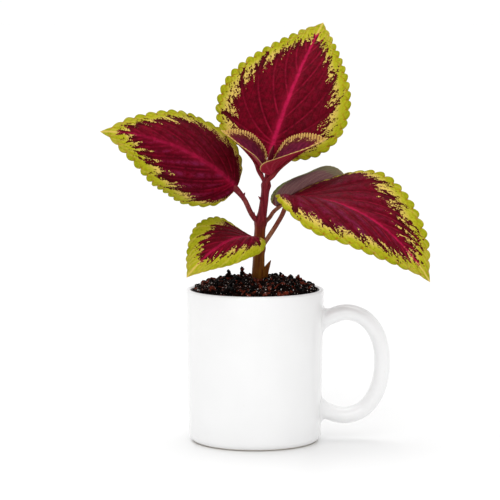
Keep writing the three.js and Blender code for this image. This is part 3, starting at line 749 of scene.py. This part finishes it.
def make_mug(finish):
    bm = bmesh.new()
    verts = [bm.verts.new((r, 0, z)) for r, z in mug_profile()]
    edges = [bm.edges.new(pair) for pair in zip(verts, verts[1:])]
    bmesh.ops.spin(bm, geom=verts + edges, cent=(0, 0, 0), axis=(0, 0, 1), angle=TURN,
                   steps=Mug.sides, use_merge=True)
    make_handle(bm)
    finish_piece(bm, "glazed_mug", [finish], "glaze", "mug")


# ---- the compost

COMPOST_RADIUS = wall_radius(Compost.edge) - Mug.wall - Compost.gap


def mound(x, y):
    """The height of the compost's surface, without its crumbs."""
    share = min(1.0, math.hypot(x, y) / COMPOST_RADIUS)
    lump = (math.sin(x * 0.41 + y * 0.23) + math.sin(y * 0.53 - x * 0.17 + 2)
            + 0.7 * math.sin(x * 0.83 + 1) * math.sin(y * 0.91 + 0.5))
    dip = Compost.dip * bell(math.hypot(x - STEM_FOOT, y), Compost.dip_width)
    return (Compost.edge + Compost.crown * (1 - share * share) ** Compost.fullness - dip
            + Compost.lump * 0.5 * lump * min(1, (1 - share) * 5))


def rough_mound(x, y):
    fade = min(1.0, (COMPOST_RADIUS - math.hypot(x, y)) / 3 + 0.15)
    coarse = noise.noise(Vector((x * 0.35, y * 0.35, 3.1)))
    fine = noise.turbulence(Vector((x * 0.8, y * 0.8, 7.7)), 3, True)
    return mound(x, y) + fade * (0.9 * coarse + 1.1 * (fine - 0.45)) - 0.25


def start_compost(seed=0):
    """An empty shape whose points carry a tone, and a new run of random draws."""
    random.seed(seed)
    bm = bmesh.new()
    return bm, bm.verts.layers.float.new("tone")


def make_compost(finish):
    floor = Mug.floor + Compost.gap
    section = [(0, floor), (wall_radius(20) - 14, floor), (wall_radius(20) - 6.5, floor + 3.2)]
    section += [(wall_radius(z) - Mug.wall - Compost.gap, z) for z in (15.5, 40, 65, 84)]

    def place(column, row):
        turn = TURN * column / Compost.sides
        if row < len(section):
            radius, height = section[row]
            return Vector((radius * math.cos(turn), radius * math.sin(turn), height))
        share = 1 - (row - len(section)) / Compost.rings
        x = COMPOST_RADIUS * share * math.cos(turn) + STEM_FOOT * (1 - share)
        y = COMPOST_RADIUS * share * math.sin(turn)
        return Vector((x, y, rough_mound(x, y)))

    bm, tone = start_compost()
    for vert in shaped_grid(bm, Compost.sides, len(section) + Compost.rings, place):
        vert[tone] = Compost.tone
    finish_piece(bm, "compost_bed", [finish], "compost", "soil")


def add_lump(bm, tone, spot, size, stretch, turned, shade, rough=0.3, detail=2):
    """One crumb, chip or grain: a small ball pressed out of shape."""
    made = bmesh.ops.create_icosphere(bm, subdivisions=detail, radius=1)["verts"]
    seed = Vector([random.random() * 50 for _ in range(3)])
    for vert in made:
        vert.co *= 1 + rough * 2 * noise.noise(vert.co * 1.3 + seed)
        vert[tone] = shade
    shape = (Matrix.Translation(spot) @ turned.to_4x4()
             @ Matrix.Diagonal((*(size * s for s in stretch), 1)))
    bmesh.ops.transform(bm, matrix=shape, verts=made)


def any_turn(tilt=math.pi):
    """A random turn, lying no steeper than tilt."""
    spin = Matrix.Rotation(random.uniform(0, TURN), 3, "Z")
    lean = Matrix.Rotation(random.uniform(-tilt, tilt), 3, "X")
    return spin @ lean @ Matrix.Rotation(random.uniform(0, TURN), 3, "Z")


def spot_on_mound(reach=0.97, clear=4.2):
    """A random spot on the compost, off the stem and off the mug's wall."""
    while True:
        radius = COMPOST_RADIUS * reach * math.sqrt(random.random())
        turn = random.uniform(0, TURN)
        x, y = radius * math.cos(turn), radius * math.sin(turn)
        if math.hypot(x - STEM_FOOT, y) > clear:
            return x, y


def make_crumbs(finish):
    """Crumbs of all sizes, one in six of them large, and a few upright chips."""
    bm, tone = start_compost(5)
    for k in range(Compost.crumbs):
        x, y = spot_on_mound()
        large = k % 6 == 0
        size = random.uniform(0.9, 1.7) if large else random.uniform(0.35, 0.8)
        stretch = [random.uniform(0.65, 1.4) for _ in range(3)]
        sunk = min(0.35, (COMPOST_RADIUS - math.hypot(x, y)) * 0.1)
        spot = Vector((x, y, mound(x, y) + size * sunk + 0.1))
        shade = random.choice((0, 0, 0.1, 0.2, 0.3, 0.45, 0.8))
        add_lump(bm, tone, spot, size, stretch, any_turn(), shade, 0.4, 2 if large else 1)
    for x, y, top in CHIPS:
        foot = mound(x, y) - 0.6
        steps = max(3, round((top - foot) / 0.8))
        for k in range(steps):
            share = k / (steps - 1)
            size = 1.75 * (1 - 0.35 * share)
            drift = Vector((random.uniform(-1, 1.1), random.uniform(-0.9, 0.9), 0))
            spot = Vector((x, y, foot + (top - size * 0.9 - foot) * share)) + drift
            turned, shade = any_turn(), random.choice((0.1, 0.3, 0.75))
            add_lump(bm, tone, spot, size, (1, 0.7, 0.8), turned, shade, 0.45)
    finish_piece(bm, "compost_crumbs", [finish], "compost")


def make_bark(finish):
    """Flat chips and splinters of red-brown bark among the crumbs."""
    bm, tone = start_compost(8)
    for _ in range(Compost.bark):
        x, y = spot_on_mound(0.92, 5)
        size = random.uniform(0.8, 1.9)
        stretch = (random.uniform(1.0, 1.7), random.uniform(0.35, 0.6), random.uniform(0.2, 0.4))
        spot = Vector((x, y, mound(x, y) + 0.45))
        add_lump(bm, tone, spot, size, stretch, any_turn(1.2), random.uniform(0.25, 0.95))
    finish_piece(bm, "bark_chips", [finish], "compost")


def make_fibres(finish):
    """Thin root and peat fibres that lie over the compost in loose bends."""
    bm, tone = start_compost(13)
    for _ in range(Compost.fibres):
        x, y = spot_on_mound(0.86, 5)
        heading = random.uniform(0, TURN)
        lift = random.uniform(0.3, 1.1)
        points = []
        for k in range(4):
            points.append((x, y, mound(x, y) + (0.1 if k in (0, 3) else lift)))
            heading += random.uniform(-0.9, 0.9)
            stride = random.uniform(0.9, 2.4)
            x, y = x + stride * math.cos(heading), y + stride * math.sin(heading)
            off = max(1, math.hypot(x, y) / (COMPOST_RADIUS * 0.96))
            x, y = x / off, y / off
        places, ways, _ = smooth_line(points, 9)
        thin = random.uniform(0.09, 0.22)
        verts = grow_tube(bm, places, ways, lambda i: thin * (1.15 - 0.09 * i), 5)
        shade = random.uniform(0.3, 1.2)
        for vert in verts:
            vert[tone] = shade
    finish_piece(bm, "compost_fibres", [finish], "compost")


def make_perlite(finish):
    bm, tone = start_compost(21)
    for _ in range(Compost.perlite):
        x, y = spot_on_mound(0.95, 5)
        size = 0.22 + 0.36 * random.random() ** 3
        stretch = [random.uniform(0.75, 1.25) for _ in range(3)]
        spot = Vector((x, y, mound(x, y) + 0.8))
        add_lump(bm, tone, spot, size, stretch, any_turn(), 1, 0.35)
    finish_piece(bm, "perlite_grains", [finish], "compost")


# ---- the stem


def make_stem(finish):
    """A square stem with hollowed sides, swollen where the leaves leave it."""
    places, ways, _ = smooth_line([row[:3] for row in STEM], STEM_STEPS)
    heights, widths = [row[2] for row in STEM], [row[3] for row in STEM]
    halves = [np.interp(spot.z, heights, widths) / 2
              + sum(JOINT_SWELLING * bell(spot.z - joint, JOINT_REACH) for joint in JOINTS)
              for spot in places]

    def section(turn, i):
        c, s = math.cos(turn), math.sin(turn)
        square = (abs(c) ** SQUARENESS + abs(s) ** SQUARENESS) ** (-1 / SQUARENESS)
        hollow = HOLLOW * (1 - math.cos(4 * turn) * min(1, halves[i] / 2))
        grain = noise.noise(Vector((1.5 * c, 1.5 * s, places[i].z * 0.16)))
        return square - hollow + ROUGHNESS * grain

    bm = bmesh.new()
    start = Matrix.Rotation(STEM_TURN, 3, ways[0]) @ Vector((1, 0, 0))
    grow_tube(bm, places, ways, lambda i: halves[i], STEM_SIDES, section, start)
    for bud in STEM_BUDS:
        pointed_bud(bm, *bud)
    finish_piece(bm, "coleus_stem", [finish], "stem", "stem")


# ---- the leaves


class Midrib:
    """The bent middle line of a blade, and the frame that the blade is spread on."""

    def __init__(self, leaf):
        self.base, self.tip = np.array(leaf.base, float), np.array(leaf.tip, float)
        chord = self.tip - self.base
        along = chord / np.linalg.norm(chord)
        azimuth, elevation = math.radians(leaf.azimuth), math.radians(leaf.elevation)
        face = np.array([math.sin(azimuth) * math.cos(elevation),
                         -math.cos(azimuth) * math.cos(elevation), math.sin(elevation)])
        self.face = face - face.dot(along) * along
        self.face /= np.linalg.norm(self.face)
        self.bend = self.base + chord * leaf.sag + self.face * (2 * leaf.arch)
        self.twist = math.radians(leaf.twist)
        self.steps = np.linspace(0, 1, 401)
        travelled = distances(self.on_curve(self.steps))
        self.length = travelled[-1]
        self.travelled = travelled / self.length

    def on_curve(self, t):
        t = np.asarray(t)[..., None]
        return (1 - t) ** 2 * self.base + 2 * t * (1 - t) * self.bend + t * t * self.tip

    def frame(self, share):
        """Point, up and across at a share of the length, which may run past its ends."""
        share = np.asarray(share, float)
        inside = np.clip(share, 0, 1)
        t = np.interp(inside, self.travelled, self.steps)[..., None]
        way = 2 * (1 - t) * (self.bend - self.base) + 2 * t * (self.tip - self.bend)
        way /= np.linalg.norm(way, axis=-1, keepdims=True)
        point = self.on_curve(t[..., 0]) + way * ((share - inside) * self.length)[..., None]
        up = self.face - (way @ self.face)[..., None] * way
        up /= np.linalg.norm(up, axis=-1, keepdims=True)
        across = np.cross(way, up)
        turn = (self.twist * (share - 0.4))[..., None]
        return (point, up * np.cos(turn) + across * np.sin(turn),
                across * np.cos(turn) - up * np.sin(turn))


def along_leaf(values, x):
    """A half's seven values, or its one, at each x."""
    return np.interp(x, SHARES, np.broadcast_to(values, len(SHARES)))


def outline(leaf, length, side, x):
    """The flat outline of one half, as distances along and across. x runs 0 to 1."""
    width = leaf.width[side] + along_leaf(leaf.swell[side], x)
    peak = 0.5 / (0.5 + leaf.taper)
    top = peak**0.5 * (1 - peak) ** leaf.taper
    share = x**0.5 * (1 - x) ** leaf.taper / top
    return x * length - leaf.lobe[side] * share * (1 - x) ** 3, width * share


def even_steps(leaf, length, side, count):
    """Values of x that split one half's outline into equal lengths, and that length."""
    x = np.linspace(0, 1, 1601) ** 2
    travelled = distances(np.stack(outline(leaf, length, side, x), axis=1))
    return np.interp(np.linspace(0, travelled[-1], count + 1), travelled, x), travelled[-1]


def vein_numbers(x, out):
    """The veins' own coordinate at each x and share outwards, whole on the side veins."""
    lines = np.array([start + (end - start) * out**bend for start, end, bend in VEINS])
    numbers = np.arange(len(VEINS)) - 1.0
    return np.stack([np.interp(x, row, numbers) for row in lines.T], axis=1)


def spacing_of(numbers, along, across):
    """Millimetres from one whole number to the next, at right angles to the veins."""
    a_i, a_j = np.gradient(along)
    b_i, b_j = np.gradient(across)
    n_i, n_j = np.gradient(numbers)
    area = a_i * b_j - a_j * b_i
    area = np.where(np.abs(area) < 1e-6, 1e-6, area)
    slope = np.hypot((n_i * b_j - n_j * b_i) / area, (n_j * a_i - n_i * a_j) / area)
    return np.clip(1 / np.maximum(slope, 1e-4), 0.2, 30)


class HalfBlade:
    """One half of a blade, in columns from base to tip and rows from the midrib out to the
    margin. Its side is 0 for the left half and 1 for the right."""

    def __init__(self, leaf, midrib, side, x, margin, feet):
        self.leaf, self.midrib, self.side, self.sign = leaf, midrib, side, 2 * side - 1
        along, across = outline(leaf, midrib.length, side, x)
        run = np.stack([np.gradient(along), np.gradient(across)])
        run /= np.maximum(np.linalg.norm(run, axis=0), 1e-9)
        step = np.arange(len(x)) / (len(x) - 1)
        self.margin = step * margin
        self.border, self.ragged, self.painted_shade = (
            along_leaf(pair[side], x) for pair in (leaf.border, leaf.ragged, leaf.painted_shade))
        self.tooth = step * leaf.teeth[side]
        self.size = leaf.tooth[side] * np.clip(self.border / 4, 0.15, 1)
        bite = np.maximum(np.sin(np.pi * (self.tooth % 1) ** 1.15), 0) ** 0.7
        bite *= np.clip(np.minimum(step * 9, (1 - step) * 7), 0, 1)
        setback = Blade.tooth_setback * np.minimum(1, 20 * step * (1 - step))
        tooth = (Blade.tooth_depth * bite - setback) * self.size
        out = 1 - (1 - np.linspace(0, 1, Blade.rows + 1)) ** 1.3
        lean = np.clip((out - 0.7) / 0.3, 0, 1) ** 1.6
        heel = leaf.heel * np.exp(-x / 0.02)
        self.along = (feet[:, None] * (1 - out) + along[:, None] * out
                      - (run[1] * tooth)[:, None] * lean - heel[:, None])
        self.across = np.maximum(across[:, None] * out + (run[0] * tooth)[:, None] * lean, 0)
        self.inward = np.hypot(along + tooth - feet, across)[:, None] * (1 - out)
        self.bite = bite[:, None]
        self.numbers = vein_numbers(x, out)
        self.spacing = spacing_of(self.numbers, self.along, self.across)
        self.to_vein = np.abs(self.numbers - np.round(self.numbers)) * self.spacing
        self.x, self.out = np.meshgrid(x, out, indexing="ij")

    def relief(self):
        """How far the face stands up (+) or sinks (-) between and along its veins."""
        tip_fade = np.clip((1 - self.x) * 3, 0, 1)
        calm = np.clip((1 - self.out) * 3.5, 0, 1) * tip_fade
        pillow = (1 - bell(self.to_vein, 2.4)) * (1 - bell(self.across, 2.6))
        groove = bell(self.to_vein, 0.62) * np.clip(self.across, 0, 1)
        crease = bell(self.across, 0.85) * tip_fade
        edge = np.clip(1 - self.inward / 3.6, 0, 1)
        scallop = (self.bite - 0.55) * edge * self.size[:, None]
        net, swell = np.empty_like(self.along), np.empty_like(self.along)
        seed = self.leaf.seed
        for index, (a, b) in enumerate(zip(self.along.flat, (self.across * self.sign).flat)):
            near = noise.voronoi(Vector((a * 0.34, b * 0.34, seed)))[0]
            net.flat[index] = min(1.0, (near[1] - near[0]) * 2.2)
            swell.flat[index] = noise.noise(Vector((a * 0.07, b * 0.07, seed + 9)))
        swell *= np.clip(self.across / 12, 0, 1)
        return min(1.0, max(self.leaf.width) / 40) * (
            (Blade.pillow * pillow - Blade.groove * groove + Blade.net * net) * calm
            - Blade.crease * crease + Blade.scallop * scallop + Blade.swell * swell)

    def faces(self):
        """The half in space: the points of its lower and of its upper face."""
        leaf, widest = self.leaf, max(self.leaf.width)
        fold = math.radians(leaf.fold[self.side])
        bend = math.radians(leaf.curl[self.side]) / widest or 1e-6
        share = self.along / self.midrib.length
        point, up, sideways = self.midrib.frame(share)
        lean = fold + bend * self.across
        out = (np.sin(lean) - math.sin(fold)) / bend
        phase = TURN * (2.2 * share + (0.35, 0)[self.side])
        rise = (-(np.cos(lean) - math.cos(fold)) / bend
                + leaf.wave * (self.across / widest) ** 2 * np.sin(phase))
        middle = point + sideways * (self.sign * out)[..., None] + up * rise[..., None]
        lean *= np.clip(self.across / 1.5, 0, 1)
        normal = up * np.cos(lean)[..., None] - sideways * (self.sign * np.sin(lean))[..., None]
        normal /= np.linalg.norm(normal, axis=-1, keepdims=True)
        ends = np.minimum(self.x, 1 - self.x)
        inside = np.clip(self.inward / 1.2, 0, 1)
        thick = Blade.edge + (Blade.thickness - Blade.edge) * inside
        thick *= np.clip(ends * 60, 0, 1) / 2
        ridge = Blade.ridge * bell(self.to_vein, 0.6) * np.clip((1 - self.out) * 2, 0, 1)
        fade = np.clip(ends * 30, 0, 1)
        relief = self.relief()
        return (middle - normal * (thick + (ridge - relief) * fade)[..., None],
                middle + normal * (thick + relief * fade)[..., None])


def make_blade(bm, leaf, midrib):
    """The blade as one closed skin: over the upper face from the left margin to the right,
    round the rim and back beneath."""
    columns, rows = max(leaf.teeth) * leaf.steps, Blade.rows
    splits = [even_steps(leaf, midrib.length, side, columns) for side in (0, 1)]
    feet = ((splits[0][0] + splits[1][0]) / 2) ** 1.35 * midrib.length
    halves = [HalfBlade(leaf, midrib, side, *splits[side], feet) for side in (0, 1)]
    faces = [half.faces() for half in halves]
    order = [(0, rows - k) for k in range(rows)] + [(1, k) for k in range(rows + 1)]
    # each row of the skin: which half, which of its rows, and whether on the upper face
    skin = [(side, k, 1) for side, k in order] + [(side, k, 0) for side, k in reversed(order)]

    def place(column, row):
        side, k, upper = skin[row % len(skin)]
        return faces[side][upper][column, k]

    verts = shaped_grid(bm, columns, len(skin), place)
    layers = [bm.verts.layers.float_vector[layer] for layer in LAYERS]
    for index, vert in enumerate(verts):
        row, i = divmod(index, columns + 1)
        side, k, upper = skin[row % len(skin)]
        half = halves[side]
        along = half.along[i, k]
        start = leaf.seed * 90 + 40 * side
        carried = (
            (start + half.margin[i], half.inward[i, k], upper),
            (half.numbers[i, k], half.spacing[i, k], half.out[i, k]),
            (along, half.across[i, k] * half.sign, along / midrib.length),
            (half.border[i], 0.1 + half.ragged[i], half.tooth[i]),
            (half.painted_shade[i], leaf.painted_sheen[side], leaf.shine),
            (half.size[i], leaf.pleat_shade[side], start),
        )
        for layer, numbers in zip(layers, carried):
            vert[layer] = numbers


def make_stalk(bm, leaf, midrib):
    """The leaf stalk, which runs on beneath the blade as its raised midrib."""
    points = [Vector(point) for point in leaf.stalk]
    straight = sum((b - a).length for a, b in zip(points, [*points[1:], Vector(leaf.base)]))

    def half_width(past):
        """Half the width at a distance past the blade's foot, less than zero before it."""
        flare = leaf.flare * bell(past, 4.5)
        if past < 0:
            return leaf.rib * (1 + 0.22 * math.exp(-(past + straight) / 4)) + flare
        return leaf.rib * max(0.08, 1 - 0.72 * past / midrib.length) + flare

    for share in (0.03, 0.12, 0.22, 0.34, 0.46, 0.58, 0.71, 0.84):
        point, up, _ = midrib.frame(share)
        radius = half_width(share * midrib.length)
        points.append(Vector(point - up * (radius * 0.9 + 0.45)))
    steps = 120
    places, ways, length = smooth_line(points, steps)
    before = set(bm.faces)
    grow_tube(bm, places, ways, lambda i: half_width(length * i / steps - straight), 22,
              lambda turn, i: 1 + 0.05 * math.cos(3 * turn + 0.05 * i))
    if leaf.bump:
        pointed_bud(bm, *leaf.bump)
    for face in set(bm.faces) - before:
        face.material_index = 1


def make_leaf(node, name, blade, stalk):
    leaf = LEAVES[node]
    midrib = Midrib(leaf)
    bm = bmesh.new()
    for layer in LAYERS:
        bm.verts.layers.float_vector.new(layer)
    make_blade(bm, leaf, midrib)
    make_stalk(bm, leaf, midrib)
    finish_piece(bm, name, [blade, stalk], "leaf", node)


# ---- the plant in its mug

make_mug(glaze_finish())

bed = compost_finish("damp_compost", 0.55)
make_compost(bed)
make_crumbs(bed)
make_bark(compost_finish("bark", 0.5))
make_fibres(compost_finish("peat_fibre", 0.6))
make_perlite(perlite_finish())
make_stem(stem_finish())

red_stalk = stalk_finish("crimson_stalk", (108, 28, 38), (148, 80, 68))
young_stalk = stalk_finish("young_stalk", (116, 22, 34), (146, 54, 54))
tan_stalk = stalk_finish("tan_stalk", (116, 50, 38), (152, 106, 76))
grown = leaf_finish("grown_leaf", GROWN)
young = leaf_finish("young_leaf", YOUNG, 1.2)
make_leaf("leaf_left", "left_leaf", grown, red_stalk)
make_leaf("leaf_top", "top_leaf", grown, red_stalk)
make_leaf("leaf_right", "right_leaf", grown, tan_stalk)
make_leaf("leaf_back_right", "back_leaf", leaf_finish("shaded_leaf", BACK), tan_stalk)
make_leaf("leaf_low_left", "low_leaf", grown, red_stalk)
make_leaf("leaf_young_left", "young_left_leaf", young, young_stalk)
make_leaf("leaf_young_right", "young_right_leaf", young, young_stalk)

# ---- table, light and camera

TABLE_RADIUS = 40  # metres, far enough for its edge to be lost in the white
LIGHTS = (  # name, azimuth, elevation, power and angle across
    ("key_light", -98, 38, 0.6, 40), ("top_light", 90, 80, 1.0, 50),
)
CAMERA_PLACE, CAMERA_PITCH = (-0.003, -1.3, 0.254), 6.15
SENSOR, PICTURE_PIXELS, FOCAL_PIXELS = 36, 500, 2204

scene = bpy.context.scene
scene.view_settings.view_transform = "Standard"


def make_table(finish):
    bm = bmesh.new()
    bmesh.ops.create_circle(bm, cap_ends=True, segments=96, radius=TABLE_RADIUS)
    table = put_in_scene("table", mesh_of(bm, "table", [finish]))
    table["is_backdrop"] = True


def make_studio():
    """An even white studio, brightest low down, with soft light from above and the left."""
    world = bpy.data.worlds.new("white_studio")
    world.use_nodes = True
    nodes, links = world.node_tree.nodes, world.node_tree.links
    place = nodes.new("ShaderNodeTexCoord")
    height = nodes.new("ShaderNodeSeparateXYZ")
    bright = nodes.new("ShaderNodeMapRange")
    links.new(place.outputs["Generated"], height.inputs[0])
    links.new(height.outputs[2], bright.inputs["Value"])
    for key, value in {"From Min": 0.06, "From Max": 0.16, "To Min": 1.02, "To Max": 0.86}.items():
        bright.inputs[key].default_value = value
    links.new(bright.outputs[0], nodes["Background"].inputs["Strength"])
    nodes["Background"].inputs["Color"].default_value = (1, 1, 1, 1)
    scene.world = world
    for name, azimuth, elevation, power, spread in LIGHTS:
        lamp = bpy.data.lights.new(name, "SUN")
        lamp.energy, lamp.angle = power, math.radians(spread)
        turn, rise = math.radians(azimuth), math.radians(elevation)
        way = Vector((math.cos(turn) * math.cos(rise), math.sin(turn) * math.cos(rise),
                      math.sin(rise)))
        put_in_scene(name, lamp).rotation_euler = way.to_track_quat("Z", "Y").to_euler()


def make_camera():
    camera = bpy.data.cameras.new("camera")
    camera.sensor_width, camera.sensor_fit = SENSOR, "HORIZONTAL"
    camera.lens = SENSOR * FOCAL_PIXELS / PICTURE_PIXELS
    scene.camera = put_in_scene("camera", camera)
    scene.camera.location = CAMERA_PLACE
    scene.camera.rotation_euler = (math.radians(90 - CAMERA_PITCH), 0, 0)


make_table(table_finish())
make_studio()
make_camera()

({"solid": [list(corner) for corner in solid_box],
           "visual": [list(corner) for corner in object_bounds()]})
